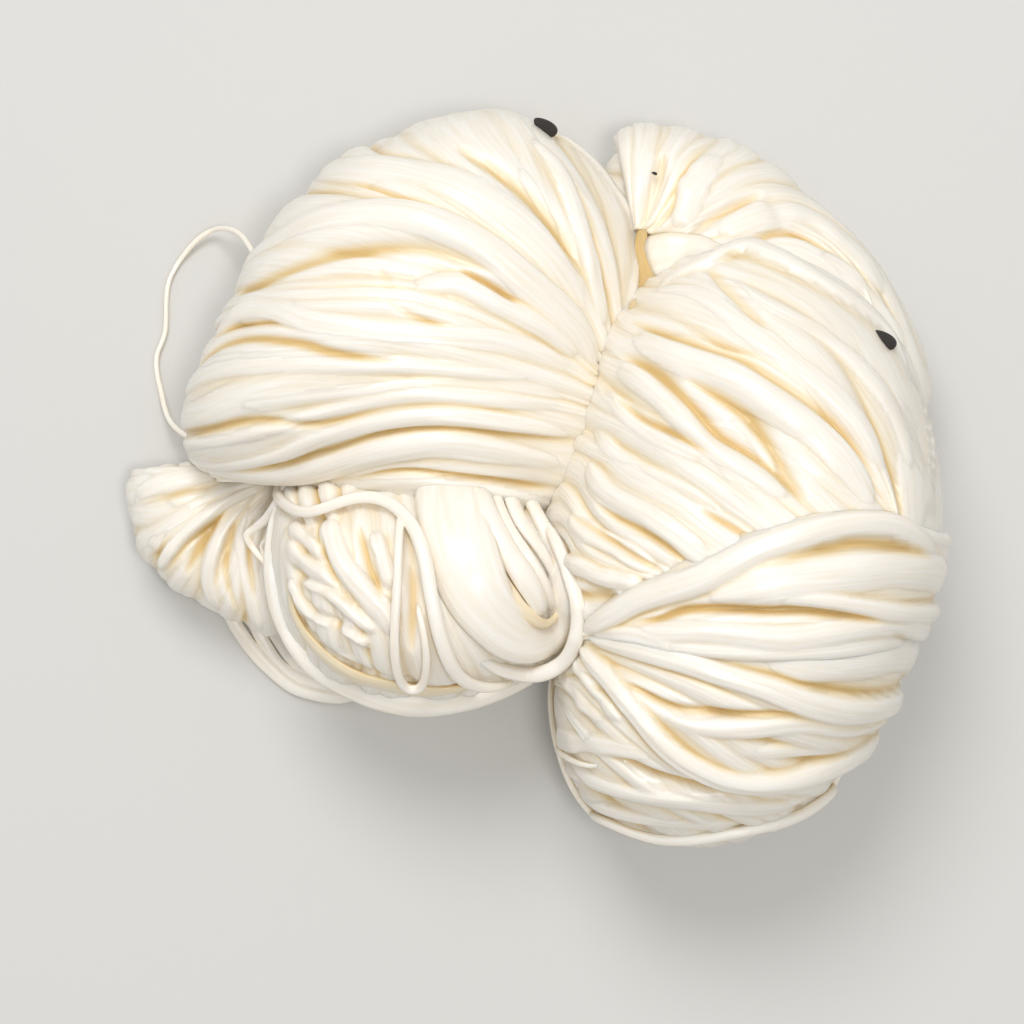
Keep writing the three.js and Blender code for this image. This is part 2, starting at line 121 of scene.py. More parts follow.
MAIN_UPPER = dict(
    lobe="main", bundles=7, over=5,
    guides=(
        (4.8, -16.2, -20, 3, 10, 1, 0, 1, 0),
        (4.2, -8.4, -50, 5, 34, 4, 10, 2, 5),
        (4.6, -3.2, -66, 7, 40, 6, 5, 4, 5),
        (5, 2, -64, 7, 36, 9, -1, 8, -1),
        (6.2, 6.6, -40, 9, 8, 10, -2, 9, -2),
        (8, 10.4, -30, 10, -2, 13, -6, 8, -6),
        (10.1, 15.2, -22, 12, -8, 17, -15, 11, -10),
        (12.4, 20.6, -8, 12, -32, 16, -12, 20, -34),
        (13.2, 23, 2, 12, -30, 16, -34, 22, -28),
        (13.6, 25, 24, 13, -36, 18, -40, 32, -40),
    ),
    ribbons=(
        (3, 1.3, ((13.8, 20), (15.6, 21.6), (18.9, 23.2), (23.4, 25), (26.3, 24.1), (29.9, 22.2),
            (35, 19), (39.2, 15.4), (41.8, 9.6))),
        (3.4, 0.7, ((21.6, 21.8), (25.9, 18.3), (32.6, 14.6), (37.6, 9.5), (40.4, 3.9), (41.2, -1.4))),
        (3.6, 0.9, ((13.1, 20.4), (18.4, 19.6), (24.2, 15.4), (30.4, 10.6), (34.8, 6), (38.1, 0.4))),
        (5.2, 1.3, ((11.4, 15.2), (16.8, 13), (23.5, 10.2), (29.2, 6.4), (33.7, 1.7), (36.6, -3.2))),
        (2.2, 0.1, ((18, 9.2), (21.6, 7.2), (24.2, 4), (27.6, -1.2))),
        (3, 0.9, ((9.6, 12.4), (13.5, 9.6), (16.8, 6), (19.6, 3), (23.5, 0.6), (27.6, -2.2))),
        (2.6, 0.7, ((8.2, 9.4), (11.4, 6), (15.6, 3.2), (20.2, 1.2), (25.9, -3))),
        (2.2, 0.5, ((7, 6.2), (8.8, 3.2), (12.3, 0.9), (16.7, -1.2), (21.1, -4))),
        (3, 1, ((6.4, 1.6), (8.6, -1.4), (13.3, -4.2), (17.6, -7.4), (19.6, -9))),
        (2.2, 0.3, ((5.8, -1.2), (9.1, -4.6), (13.3, -7.4), (16.4, -9.6))),
        (2.4, 0.8, ((4.4, -4), (6.4, -5.8), (9.8, -7.5), (13.6, -9.8))),
        (2.1, 1.1, ((3.9, -8.8), (6.3, -9.5), (8.4, -10.5), (12.2, -11))),
        (1.8, 0.7, ((41.6, 12.4), (43.4, 6), (43.8, 1), (43.6, -3))),
        (1.6, 0.6, ((38.6, 11), (41, 6), (42, 1), (41.8, -2.6))),
    ),
    furrows=(
        (1.5, 1.3, ((11.2, 17.2), (14.6, 15.6), (17.9, 14.4), (22.4, 12.8), (25.9, 10.6), (29.9, 7.9),
            (33.7, 4.6), (37.6, -0.9))),
        (1.8, 1.2, ((10.1, 13.5), (13.5, 11.6), (16.8, 8.4), (19.8, 5), (23.5, 2.6), (27.4, -0.6))),
        (2.2, 1.2, ((16.4, 10.8), (20.2, 9), (23.5, 6.2), (26.3, 2.1), (29.2, -2.4))),
        (1.5, 1, ((19.6, 22.6), (22.4, 19.4), (25.6, 15.6))),
        (1, 0.9, ((9.6, 8.6), (12.4, 6.4), (16.4, 4.4), (19.4, 2.4))),
        (1, 1, ((7.4, -2.6), (9.6, -4.2), (11.9, -5.4), (14.7, -7.1), (17.8, -9.6))),
        (1, 1.1, ((5, -3.9), (7.7, -5.9), (10.5, -7.7), (14.7, -10.2))),
        (1.8, 1.1, ((5.2, -12.6), (7.7, -12.6), (10.2, -12.6))),
        (0.9, 0.9, ((18.4, -3.4), (21.6, -5.2), (24.4, -7))),
    ),
)
MAIN_MIDDLE = dict(
    lobe="main", bundles=3, over=1, lift=0.7,
    guides=(
        (6.2, -17.2, -12, 12, 4, 12, 12, 22, 14),
        (6.4, -16.6, 2, 12, 0, 12, 2, 22, 2),
        (6.3, -16.2, 22, 10, -8, 14, -10, 22, -10),
        (5.4, -14.7, 34, 10, -4, 14, -14, 22, -50),
    ),
    ribbons=(
        (2.7, 1.3, ((6.3, -16), (9.4, -14.3), (11.9, -12.8), (14.7, -11.8), (18.2, -10.6), (21.1, -9.2),
            (24.6, -7.4), (31, -5.4), (35.7, -4.8), (38.8, -5.2), (41.1, -6.4), (43.4, -8.2))),
        (5.2, 1.2, ((19, -12.6), (23.3, -11.4), (27.9, -10.6), (34.1, -9.9), (38.7, -9.7), (42.6, -9.9),
            (44.6, -10.6))),
        (2, 1.3, ((23.3, -12.4), (29.5, -12.6), (35.6, -13.3), (40.3, -13.9), (44.8, -14.2))),
        (3.4, 0.8, ((10.8, -16.3), (14.6, -16.2), (18.9, -16.2), (23.3, -16.6), (27.9, -16.8),
            (32.6, -15.9), (36.4, -15.2), (39.7, -15.4), (44, -16))),
        (1.6, 0.5, ((7, -16.4), (10, -16.2), (13.2, -16.8), (17, -18.4))),
    ),
    furrows=(
        (1.2, 1.5, ((11.4, -15), (14, -14.8), (16.6, -13.9), (20.6, -13.7), (25.5, -13.9), (31, -13.9),
            (37, -14.6))),
        (1, 0.6, ((26.2, -8.6), (31, -7.4), (34.1, -6.9), (37.2, -7), (40.3, -7.7), (42.3, -8.4))),
        (1.2, 0.7, ((38, -15.9), (40.3, -17), (42.5, -18.5))),
    ),
)
MAIN_LOWER = dict(
    lobe="main", bundles=7, over=4,
    guides=(
        (-1.6, -25.4, -112, 18, 40, 34, 34),
        (-0.6, -24.6, -92, 17, 36, 40, 46),
        (1.5, -23.8, -70, 14, 28, 38, 40),
        (3.3, -22.4, -52, 14, 14, 38, 42),
        (4.8, -20.6, -36, 14, 0, 38, 38),
        (5.8, -18.8, -22, 16, -8, 36, 26),
        (6.6, -16.6, -11, 15, -8, 36, 14),
        (6.6, -15.8, -12, 17, 14, 24, 16),
    ),
    ribbons=(
        (2.6, 1.5, ((6.3, -16.9), (10.5, -17.7), (16.1, -19.2), (20.4, -20.7), (25.5, -22.2),
            (30.2, -23.8), (34.6, -24.5), (40, -24), (45, -22.6))),
        (5, 1, ((24, -18.8), (29.5, -19.4), (34.1, -19.5), (38.7, -19.2), (42, -19.4), (46, -19.4))),
        (2.4, 1.7, ((5.6, -18.2), (8.4, -20.7), (11.4, -24.4), (14.6, -28.2), (18, -30.6),
            (22.4, -32.2), (28.6, -32), (35, -29.8), (40.6, -26.6))),
        (1.7, 0.7, ((4.6, -19.2), (7.2, -22.4), (10.2, -26.4))),
        (2, 0.6, ((3.4, -20.6), (5.6, -23.8), (8.4, -26.4))),
        (2.6, 0.9, ((12.3, -24.4), (17.8, -26.3), (23.1, -26.5), (29.8, -26), (36, -26.4), (42, -25))),
        (2.2, 0.5, ((16.2, -27.6), (23.1, -29.1), (31.1, -28.9), (36.4, -28), (41, -25.8))),
        (2.4, 0.7, ((3, -28.6), (8.5, -28.7), (14.4, -30))),
        (2.6, 0.7, ((2.6, -31), (9.8, -33.6), (17.8, -34.8), (25.7, -35.6), (31.6, -34.4))),
        (2.4, 0.5, ((2.4, -33.6), (9, -36.2), (17, -37.4), (26, -37.2))),
    ),
    furrows=(
        (1.3, 1.2, ((10.6, -21.6), (15, -24.2), (20.5, -25), (28.5, -24.9))),
        (1.6, 1.9, ((10, -30), (13, -31.6), (17, -32.9), (22.4, -33.6))),
        (1, 0.9, ((2, -26.4), (3.6, -30.2), (7.2, -33.6))),
    ),
)
BACK = dict(
    lobe="back", bundles=6, over=1,
    guides=(
        (17, 21, 8, 10, -14, 15, -66, 34, -24),
        (15.5, 24.5, 20, 10, -14, 15, -74, 34, -26),
        (15, 25.5, 30, 10, -14, 15, -80, 34, -28),
        (14, 26.5, 42, 10, -14, 15, -70, 34, -30),
        (13, 27, 62, 9, -12, 15, -56, 30, -30),
        (12.3, 27, 82, 8, -4, 14, -12, 24, -16),
        (11.4, 26.5, 100, 8, 2, 14, 6, 24, 12),
    ),
    ribbons=(
        (4, 0.6, ((16.6, 27.6), (18.4, 32.4), (21.6, 36.4))),
        (4.8, 0.7, ((20.6, 27), (25.4, 29), (31, 29.4), (36.4, 25.4), (40, 20.4))),
        (3, 0.5, ((29, 26), (35, 23), (39.4, 18.4), (42.4, 13))),
    ),
    furrows=(
        (1.8, 1.3, ((12.2, 27.6), (13.8, 31.4), (14.5, 33.7), (15, 36.4))),
        (0.8, 0.8, ((13.2, 27.4), (15.7, 29.9), (16.4, 32.8))),
        (1.3, 1.2, ((17.8, 26.8), (20.4, 29), (22.9, 30.5), (26, 31.8))),
        (1.1, 0.9, ((22, 25.8), (24.8, 26.3), (27.5, 27.2), (30.4, 27), (33.4, 25.2))),
        (2.4, 0.4, ((26.4, 31.8), (28.3, 28))),
    ),
)
KNOT = dict(
    lobe="knot", bundles=6, over=3,
    guides=(
        (-28.4, -1.4, -104, 12, 6, 24, -6),
        (-24.4, -0.6, -88, 14, 10, 24, 0),
        (-15.6, -1, -86, 14, 8, 26, 0),
        (-7, -1.6, -82, 16, 14, 20, 0),
        (1.6, -2.6, -80, 16, 8, 20, 0),
    ),
    ribbons=(
        (1.8, 1.3, ((-26.2, 1.4), (-25.8, -1.6), (-24.8, -4.4))),
        (2.1, 1.4, ((-24.2, 1.6), (-24, -1.6), (-23.4, -5))),
        (1.9, 1.2, ((-21.8, 1.6), (-21.6, -1.6), (-21, -4.6))),
        (1.6, 0.8, ((-19.6, 1.4), (-19.4, -1.4), (-19, -3.8))),
        (3, 1.2, ((-21.8, -4.2), (-20.8, -7.8), (-19.3, -10.5), (-17.3, -12.6), (-15.4, -14.6),
            (-14.4, -17))),
        (1.7, 0.9, ((-16.6, -5.6), (-15.4, -9.1), (-14.7, -12))),
        (1.9, 0.9, ((-25.9, -5), (-24.1, -6.6), (-22.1, -8.6))),
        (2.6, 0.7, ((-26.6, -7), (-24.1, -9.1), (-21.4, -10.9), (-19.6, -12.2))),
        (1.6, 1, ((-24.6, -10.9), (-21.4, -12.2), (-18.8, -14.2), (-16, -16.7))),
        (1.3, 0.9, ((-25.9, -10.6), (-24.5, -13.5), (-22.8, -15), (-21, -15.8))),
        (1.2, 0.8, ((-20.4, -15.4), (-18.8, -16.8), (-17, -17.8))),
        (1.4, 0.6, ((-26.8, -12.4), (-24.8, -16), (-21.4, -18.6), (-17.4, -20.2))),
    ),
    furrows=(
        (1.1, 1, ((-22.2, -5.8), (-21.4, -9.5), (-20.1, -11.4), (-18.4, -13.5), (-16.4, -15.8))),
        (0.9, 0.8, ((-25.6, -6.6), (-23.6, -8.2), (-21.8, -9.6))),
        (0.9, 0.8, ((-25.8, -9.8), (-23.6, -11), (-21.2, -11.9), (-19.2, -13.2))),
        (0.9, 0.7, ((-25, -12.4), (-23.2, -14.2), (-21.2, -15.2), (-18, -16.8))),
        (1, 0.9, ((-18.4, -4.8), (-17.6, -8), (-16.6, -10.8), (-15.4, -13.2))),
        (1.2, 1, ((-12.6, -9), (-12.4, -13), (-12.6, -18.6))),
        (2, 0.8, ((-26.6, -9), (-25.9, -13), (-24.8, -15.6), (-22.2, -18.2), (-18.5, -20.5),
            (-14.6, -21.9), (-10.7, -22.6), (-6.8, -22.8), (-3, -22.4))),
    ),
)
TAIL = dict(
    lobe="tail", bundles=5, over=3,
    guides=(
        (-28, 2.2, 178, 9, 2, 16, 6),
        (-28, 0.8, 198, 9, 6, 16, 10),
        (-28.4, -0.4, 218, 9, 10, 16, 16),
        (-28.4, -1.4, 238, 9, 18, 18, 26),
        (-27.4, -2.6, 256, 9, 16, 18, 30),
    ),
    ribbons=(
        (2.8, 0.4, ((-28.5, 1.8), (-35, 1), (-41, -0.2), (-45, -2))),
        (2.6, 0.4, ((-28.5, 0.4), (-35, -1.6), (-39.6, -4.4), (-43, -8))),
        (1.2, 0.9, ((-29.5, -0.4), (-32.8, -2), (-36.5, -4.2), (-39.3, -6.7), (-41.8, -10))),
        (1.5, 0.8, ((-30.4, -1), (-33.9, -4.5), (-35.6, -8.6), (-36, -11.6), (-35.2, -14.6))),
        (1.6, 0.6, ((-29.6, -0.6), (-31.8, -2.2), (-32.3, -5.4), (-32.1, -8.2), (-31.2, -13),
            (-30.2, -17))),
        (1.3, 0.5, ((-28.7, 0.4), (-29.2, -2), (-30.4, -5), (-30.6, -9.6), (-29.7, -14.6))),
    ),
    furrows=(
        (1.6, 1, ((-30.4, -1.4), (-34.1, -4.2), (-36.8, -7.4), (-38.6, -10.6))),
        (0.9, 0.7, ((-31.2, -2.4), (-33.2, -6), (-33.9, -10.4), (-32.8, -14.6))),
        (0.8, 0.6, ((-30.6, -3.4), (-31.4, -8), (-30.8, -13.6))),
    ),
)
ROWS = {
    "fan": FAN, "main_upper": MAIN_UPPER, "main_middle": MAIN_MIDDLE, "main_lower": MAIN_LOWER,
    "back": BACK, "knot": KNOT, "tail": TAIL,
}

# Single strings over the rows, and loose ones over the ground: what they lie on and how. Width and
# lift are given along a string's way, or once for all. Upturn turns a string that lies on a flank
# to face up, and shade paints shade into the colour of one that lies deep: the lower, the more golden
# and dark. Strings with a low shade, laid deep in a crease, notch or seam, are there to fill it and
# paint its shade.
SINGLES = (
    dict(on=("main",), lift=0.8, flatness=0.9, upturn=1.4, width=(0.7, 0.8, 0.9, 1.1, 1.3, 1.3, 1.2, 0.8),
         way=((0.2, -23.9), (1.3, -31.3), (4.2, -35.3), (8.4, -36.9), (15.1, -38.9), (23.1, -37.9),
         (29.8, -36.1), (36.4, -31.9))),
    dict(on=("main",), lift=0.7, flatness=0.9, upturn=1.2, width=(0.6, 0.7, 0.7, 0.7, 0.6), way=((0, -22.6),
         (0.9, -26.4), (2.2, -28.4), (4.6, -30), (8, -31.2))),
    dict(on=("knot", "main"), lift=1.1, flatness=0.36, upturn=0.2,
         width=(6.8, 7.4, 8, 8.2, 7.4, 5.6, 3.6, 2.6, 2.2), way=((-8.8, 1.2), (-8.4, -4), (-6.8, -9.4),
         (-5, -13.4), (-1.6, -16.8), (2.2, -16.9), (3.9, -13.6), (3.6, -10), (2.4, -6.2))),
    # A thin string deep in the U fold, golden with painted shade.
    dict(on=("knot", "main"), lift=1.2, flatness=0.6, shade=0.4, width=(0.6, 1, 1.3, 1.3, 1, 0.6),
         way=((-4.6, -7.6), (-2.8, -11), (-1.2, -13.6), (0.6, -15.4), (2.4, -15.6), (3, -13.4))),
    dict(on=("knot", "main"), lift=(0.6, 1.6, 2, 2, 2), flatness=0.6, width=(2, 2.4, 2.6, 2.8, 2.4),
         way=((-7, 1.2), (-5.4, -3.4), (-2.9, -7.6), (-0.6, -11.2), (1.4, -14.9))),
    dict(on=("knot", "main"), lift=(0.4, 1.2, 1.5, 1.5, 1.5), flatness=0.7, width=(1, 1.3, 1.4, 1.4),
         way=((-5, 1), (-3.1, -4.4), (-0.7, -8.2), (1.2, -11.3), (2.5, -14.6))),
    dict(on=("knot", "main"), lift=(0.2, 1, 1.4, 1.4, 1.2), flatness=0.65, width=(1.4, 1.9, 1.6, 0.9),
         way=((-3.6, 1), (-1.5, -4.6), (0.9, -7.8), (2.4, -10.4), (2.9, -12.4))),
    dict(on=("knot", "main"), lift=(0, 0.8, 1, 0.8), flatness=0.7, width=(1.6, 1.8, 1.6), way=((-1.6, 0.4),
         (0.6, -4.4), (2.6, -7.4), (3.8, -9.6))),
    # A string laid low in the gaps between the knot and the main lobe, golden-dark with painted shade.
    dict(on=("knot", "main"), lift=-1.4, flatness=0.5, shade=0.3, width=(2.6, 3.2, 3.2, 2.6, 2),
         way=((0.4, -0.6), (1.9, -3.6), (3.4, -5.9), (4.7, -8.2), (5.8, -11.2))),
    dict(on=(), lift=(28, 31.4, 33.4, 34.6, 33.4, 30.6, 29, 30.8, 33.6), flatness=0.75,
         width=(1.3, 1.4, 1.5, 1.6, 1.7, 1.8, 1.6, 1.2), way=((1.2, -3.6), (3.2, -7.2), (4.4, -10.4),
         (5.3, -13.6), (5.2, -17), (3.8, -19.8), (1, -21.2), (-2.8, -20.7), (-6.6, -18.6))),
    dict(on=("knot", "main"), lift=1.9, flatness=0.75, upturn=0.3,
         width=(1.3, 1.4, 1.3, 1.4, 1.5, 1.5, 1.4), way=((-27.2, 0.6), (-26.5, -2.6), (-23.4, -4.1),
         (-19.5, -2.8), (-16, -2.5), (-13, -4.6), (-11.3, -8), (-10.5, -12.4), (-9.4, -17.4), (-7.6, -20.9),
         (-4.3, -22.1), (-1.4, -21.6))),
    dict(on=(), lift=(18.6, 22.8, 22.6, 21, 21.8, 24, 24, 24.4, 24.2, 23), flatness=0.6,
         width=(1.6, 2, 2.2, 2.7, 3.2, 3.5, 3.4, 3, 2.2, 1.4), way=((-26.2, 0.8), (-27.6, -4), (-28.1, -10),
         (-26.9, -15.6), (-23.5, -20.3), (-18.2, -23), (-12, -24.4), (-6, -23.8), (0, -21.6),
         (4.6, -18.2))),
    # A string in the gap inside the outer band, golden-dark with painted shade.
    dict(on=("knot",), lift=-0.1, flatness=0.4, shade=0.4, width=(1, 1.8, 2.4, 2.8, 2.8, 2.4, 1.6),
         way=((-26.9, -7), (-26.4, -12.6), (-24.6, -16.6), (-21, -20), (-16.4, -22.2), (-10.7, -23.2),
         (-3, -22.6))),
    dict(on=("knot", "main"), lift=1.7, flatness=0.85, width=1, way=((-13.4, -2.6), (-13.8, -6.4),
         (-13.9, -9.8), (-14.1, -13.6), (-14.2, -18), (-13.7, -21.2), (-12.5, -22.4), (-11.3, -21.4),
         (-11, -18), (-12, -12.8))),
    dict(on=(), lift=(21, 23, 22.4, 20.4, 18.6, 17.8, 18.4, 19.4), flatness=0.6,
         width=(1.2, 1.5, 1.4, 1.2, 0.9, 0.7, 0.6, 0.5), way=((-25.2, 2), (-27, -1.6), (-28.7, -3.9),
         (-30.2, -5.2), (-31.3, -6), (-30.9, -7.2), (-29.7, -8.7), (-27.6, -11))),
    dict(on=(), lift=(22.2, 20.4, 18.6, 18.6), flatness=0.9, width=0.4, way=((-27.6, -4.6), (-29, -6.4),
         (-29.7, -7.4), (-29, -9.4))),
    # The flap, its colour darkened with painted shade.
    dict(on=("back", "main"), lift=(0.6, 0.5, 0.3, -0.4, -2), flatness=0.34, upturn=0.3, shade=0.66,
         bluntness=40, width=(5.8, 4.8, 3.6, 2.4, 1), way=((13.4, 24), (16, 24.8), (18.6, 24.9),
         (21.2, 24.6), (23.6, 24))),
    # The notch beside the back lobe: a pad laid low, golden-dark with painted shade.
    dict(on=("back",), lift=(-1, -0.1, 0.5, 0.7, 0.5), flatness=0.3, shade=0.06,
         width=(0.6, 1.7, 3.6, 4.6, 3.4), way=((12.5, 29.6), (12.4, 26.8), (13.2, 23.4), (12.8, 20.2),
         (11.4, 17))),
    # The seam between the fan and the main lobe: a string laid low, golden with painted shade.
    dict(on=("fan", "main"), lift=-0.7, flatness=0.6, shade=0.2, width=(2.4, 2.2, 1.8, 1.2, 0.6),
         way=((12.4, 20.8), (11.2, 17.6), (10, 14.6), (8.8, 11.8), (7.8, 9.4))),
    dict(on=(), lift=0.5, flatness=0.6, width=1.7, way=((-36, -9), (-35, -13.6), (-33, -17.6), (-30, -21.2),
         (-26.2, -24), (-20.6, -24.6), (-15, -21))),
    dict(on=(), lift=0.4, flatness=0.5, width=1.6, way=((-33, -8), (-32.4, -13.6), (-30.6, -18.2),
         (-27.6, -22), (-22.4, -23.4), (-17, -20.6))),
    dict(on=(), lift=0.4, flatness=0.4, width=2, way=((-31, -8), (-30.4, -13.6), (-28.6, -18),
         (-25.4, -21.2), (-19, -20.6))),
    dict(on=(), lift=(13, 8, 1.5, 0.3, 0.3, 0.3, 0.5, 4, 9.5), flatness=0.9, width=0.6, way=((-29.6, 22.8),
         (-32.8, 28.2), (-37, 28.6), (-41.2, 23.6), (-41.8, 17.4), (-42.8, 14.2), (-42.3, 10.6),
         (-40.6, 6.4), (-36, 3.6))),
)
SEEDS = (
    dict(lobe="fan", at=(1.6, 38.6), bearing=160, length=3.0, width=1.6, lift=0.6),
    dict(lobe="main", at=(38.4, 14.8), bearing=130, length=3.0, width=1.6, lift=0.6),
    dict(lobe="back", at=(14.1, 33.7), bearing=150, length=0.7, width=0.35, lift=0.5),
)

SEED_SIDES, SEED_RINGS = 15, 12

# How the strings lie and how finely they are made, in millimetres.
ACROSS_STEP = 0.27
ALONG_STEP = 0.38
RING_SIDES = 24
END_BLUNTNESS = 8
STEP_EASE = 5  # how many rings ease a string's step from one lobe to another
SEAM_DIP, SEAM_RUN = 1.1, 4.5  # how deep, and over how long, the strings dip into a seam
SIDE_DIP, SIDE_RUN = 2.0, 2.0  # how deep, and over how far, a row falls off at its sides
SIDEWAYS_LEFT = 0.4  # share of a way's turn round its lobe that is left where it hangs
ROW_DEPTH = 2.6
TUCK = 2.6  # how far a row reaches back past its start, into the seam
TUCK_STOPS, TUCK_JOINT = 12, 4  # of the tuck, and the stop of the guide that it leads to
CORE_INSET = 1.6
COVERED_INSET = 1.2  # how much deeper a body is at its crown, where rows cover it
STRING_APART = 7.3  # between one string's fine grain and the next one's
CREASE = 0.09  # softness of the crease between two strings
SEAM_SHADE = 6.0  # how far out of a seam the painted shade reaches
DEEPEST = -2.2
LOW = -9.0  # a height that never shows
STOPS = 150  # along each way of a row
LINES_A_GUIDE = 10  # ways of a row from one guide to the next
THINNEST = 0.05  # half width of a string
WANDER = 0.12  # how much a string or a bundle strays and swells
UNEVENNESS = 0.08  # of a single string's width and thickness
SLOWEST_RIPPLE, FASTER, FAINTER = 0.6, 1.7, 1.35  # a ripple's waves

# A row: its bundles, the strings in each, and broad ones that lie over them at a slant.
BUNDLE_SIZES, BUNDLE_OVERLAP = (0.55, 1.5), 1.16
BUNDLE_SWELL, MOST_SWELL = 0.3, 1.1
STRINGS_A_BUNDLE, STRING_SIZES, STRING_OVERLAP = (2, 5), (0.5, 1.4), 1.25
OVER_STARTS, OVER_LENGTHS, OVER_WIDTHS = (0.02, 0.5), (0.45, 0.9), (0.14, 0.3)
OVER_LIFT, END_DROP = 0.25, 1.5
RIBBON_ROUNDNESS, THICKEST = 0.6, 1.3
GRAIN_DEPTH = 0.028
NARROW_SIGHT, WIDE_SIGHT = 0.9, 3.2  # how far around a point its depth in the creases is judged, for the painted shade
# Lines across a row's underside, and the painted shade on it.
UNDER_LINES, UNDER_SHADE = 14, 0.3
USUAL_WIDTH = 85  # percentile of a row's widths that its columns are made for
# Painted shade: its level on a flat place, and how much lying below near and wide surroundings darkens it
# towards gold.
FLAT_PAINTED_SHADE, NARROW_WEIGHT, WIDE_WEIGHT = 0.66, 1.3, 0.42
OVER_BLUNTNESS, RIBBON_BLUNTNESS, ROW_BLUNTNESS = 3, 5, 14

# A body: the strings down it, and slanted ones over them.
BODY_RINGS = 2.6  # for each millimetre of its height
BODY_STRING_APART, BODY_STRING_SIZES, BODY_OVERLAP = 3.0, (0.4, 1.6), 0.62
SLANTED_APART, SLANTED_HALF_WIDTHS, MOST_SLANT = 9, (0.6, 1.4), 6
BODY_LIFT, SLANTED_LIFT = 0.3, 0.7
BODY_TWIST = 0.5


# ---- surface of a lobe

def rim_radius(lobe, bearing):
    """The rim's distance from the middle of a lobe: a smooth curve through its radii."""
    radii = np.array(lobe["radii"], float)
    count = len(radii)
    place = (bearing / (2 * np.pi)) % 1 * count
    start = np.floor(place).astype(int)
    return spline(*(radii[(start + step) % count] for step in (-1, 0, 1, 2)), place - start)


def spline(a, b, c, d, t):
    """A smooth curve's value at a share t of the way from b to c."""
    return b + 0.5 * t * (c - a + t * (2 * a - 5 * b + 4 * c - d + t * (3 * (b - c) + d - a)))


def lobe_points(lobe, bearing, tilt, lift):
    """Points and outward directions of a lobe's surface: tilt 0 is its crown, a right angle its rim."""
    upper = tilt <= np.pi / 2
    fullness = np.where(upper, CROWN_FULLNESS, BASE_FULLNESS)
    reach = rim_radius(lobe, bearing)
    height = np.where(upper, lobe["rise"], -lobe["drop"])
    out = np.abs(np.sin(tilt)) ** (2 / fullness)
    up = np.abs(np.cos(tilt)) ** (2 / fullness)
    away = np.stack([np.cos(bearing), np.sin(bearing)], -1)
    normal = np.concatenate([
        away * (out ** (fullness - 1) / reach)[..., None],
        (up ** (fullness - 1) / height)[..., None],
    ], -1)
    normal /= np.linalg.norm(normal, axis=-1, keepdims=True)
    point = np.concatenate([
        away * (out * reach)[..., None] + np.array(lobe["at"]),
        (up * height + lobe["rim"])[..., None],
    ], -1)
    return point + normal * np.asarray(lift)[..., None], normal


def drape(lobe, places, lift):
    """The points of a lobe above places in plan. A place past the rim is turned under the lobe."""
    away = places - np.array(lobe["at"])
    bearing = np.arctan2(away[..., 1], away[..., 0])
    reach = rim_radius(lobe, bearing)
    out = np.linalg.norm(away, axis=-1) / reach
    above = np.arcsin(np.clip(out, 0, 1) ** (CROWN_FULLNESS / 2))
    flank = RIM_RUN * (reach + lobe["drop"])
    below = np.pi / 2 * (1 + np.minimum(1, (out - 1) * reach / flank))
    return lobe_points(lobe, bearing, np.where(out < 1, above, below), lift)


# ---- ways in plan

def bent_way(guide, stride=0.5):
    """Places along a guide: bends of steady curvature."""
    x, y, heading = guide[:3]
    steps = [max(1, round(length / stride)) for length in guide[3::2]]
    turns = np.concatenate([
        np.full(count, math.radians(turn) / count) for count, turn in zip(steps, guide[4::2])])
    strides = np.concatenate([
        np.full(count, length / count) for count, length in zip(steps, guide[3::2])])
    angles = math.radians(heading) + np.cumsum(turns) - turns / 2
    xs = x + np.concatenate([[0], np.cumsum(strides * np.cos(angles))])
    ys = y + np.concatenate([[0], np.cumsum(strides * np.sin(angles))])
    return np.stack([xs, ys], -1)


def smooth_way(way, count=160):
    """Places along a smooth curve through a few given ones."""
    knots = np.array([way[0], *way, way[-1]], float)
    spans = len(way) - 1
    place = np.linspace(0, spans, count)
    start = np.minimum(spans - 1, place.astype(int))
    return spline(*(knots[start + step] for step in range(4)), (place - start)[:, None])


def tucked_way(lobe, way):
    """A way that first comes up out of the seam beside its lobe."""
    start = way[0]
    outward = start - np.array(lobe["at"])
    outward /= np.linalg.norm(outward)
    joint = way[TUCK_JOINT]
    t = np.linspace(0, 1, TUCK_STOPS)[:-1, None]
    rise = (1 - t) ** 2 * (start + outward * TUCK) + 2 * t * (1 - t) * start + t ** 2 * joint
    return np.concatenate([rise, way[TUCK_JOINT:]])


def even_places(lobes, places, count):
    """Places along a way, evenly spaced over what it lies on, and the length of the way."""
    points, _ = lay(lobes, places, np.zeros(len(places)))
    runs = np.concatenate([[0], np.cumsum(np.linalg.norm(np.diff(points, axis=0), axis=1))])
    stops = np.linspace(0, runs[-1], count)
    return np.stack([np.interp(stops, runs, places[:, axis]) for axis in (0, 1)], -1), runs[-1]


def hung(lobe, ways):
    """Ways made to run more steeply down past the rim of their lobe, as hanging strings do."""
    away = ways - np.array(lobe["at"])
    bearing = np.unwrap(np.arctan2(away[..., 1], away[..., 0]), axis=1)
    distance = np.linalg.norm(away, axis=-1)
    beyond = distance - rim_radius(lobe, bearing)
    steps = np.arange(ways.shape[1])
    at_rim = np.where(beyond <= 0, steps, 0).max(1)[:, None]
    turned = bearing - np.take_along_axis(bearing, at_rim, 1)
    past = steps > at_rim
    bearing = bearing - np.where(past, (1 - SIDEWAYS_LEFT) * turned, 0)
    distance = np.where(past, rim_radius(lobe, bearing) + np.maximum(beyond, 0), distance)
    return np.stack([np.cos(bearing), np.sin(bearing)], -1) * distance[..., None] + np.array(lobe["at"])


def between(guides, share):
    """The guide at a share, 0 to 1, of the way through a row's guides."""
    knots = np.array([guides[0], *guides, guides[-1]], float)
    place = share * (len(guides) - 1)
    start = min(len(guides) - 2, int(place))
    return spline(*knots[start:start + 4], place - start)


